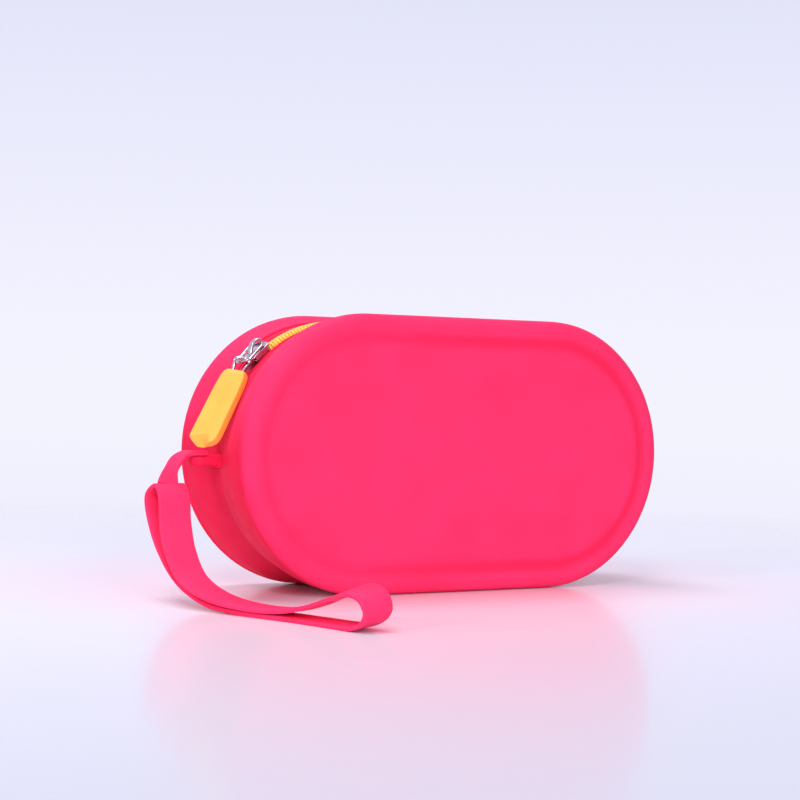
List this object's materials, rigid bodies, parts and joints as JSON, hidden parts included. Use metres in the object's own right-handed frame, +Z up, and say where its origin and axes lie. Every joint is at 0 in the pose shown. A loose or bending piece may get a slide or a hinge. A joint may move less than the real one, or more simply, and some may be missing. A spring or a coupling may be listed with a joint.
{
  "type": "makeup bag",
  "caption": "Soft moulded pouch with rounded ends and rimmed faces, closed by a zip over its top, with a slider and rubber pull, and a looped wrist strap on a lug at one end.",
  "frame": {"origin": "middle of the front rim's foot, on the surface that the bag stands on", "axes": "+X along the bag's length, from the lug's end to the other. +Y through it, from the front face to the back. +Z up from the surface that it stands on"},
  "size_m": [0.2167, 0.1492, 0.105],
  "materials": {
    "silicone": "matt, smooth moulded silicone",
    "zip_cloth": "fine woven tape",
    "zip_nylon": "semi-gloss moulded teeth",
    "thread": "spun sewing thread",
    "nickel": "polished nickel plate",
    "grip_rubber": "semi-matt moulded rubber"
  },
  "bodies": {
    "bag": {"bag_shell": "silicone", "zip_tape_front": "zip_cloth", "zip_tape_back": "zip_cloth", "zip_teeth_front": "zip_nylon", "zip_teeth_back": "zip_nylon", "top_stop_front": "nickel", "top_stop_back": "nickel", "end_stop": "nickel", "zip_stitching": "thread"},
    "slider": {"slider_body": "nickel", "slider_crown": "nickel"},
    "ring": {"pull_ring": "nickel"},
    "grip": {"grip_link": "nickel", "pull_grip": "grip_rubber"},
    "strap": {"wrist_strap": "silicone"}
  },
  "joints": [
    {"name": "slider_travel", "type": "hinge", "parent": "bag", "child": "slider", "pos_m": [-0.0417, 0.0224, 0.0525], "axis": [0, 1, 0], "range_deg": [0, 42], "deforming": ["zip_tape_front", "zip_tape_back", "zip_teeth_front", "zip_teeth_back"]},
    {"name": "ring_swing", "type": "hinge", "parent": "slider", "child": "ring", "pos_m": [-0.07581, 0.0224, 0.09255], "axis": [-0.2724, 0.9495, -0.1558], "range_deg": [0, 110]},
    {"name": "grip_swing", "type": "hinge", "parent": "ring", "child": "grip", "pos_m": [-0.08333, 0.01919, 0.08613], "axis": [-0.2724, 0.9495, -0.1558], "range_deg": [0, 70]},
    {"name": "strap_swing", "type": "hinge", "parent": "bag", "child": "strap", "pos_m": [-0.0985, 0.0224, 0.0492], "axis": [0, 0, 1], "range_deg": [-100, 40]}
  ]
}
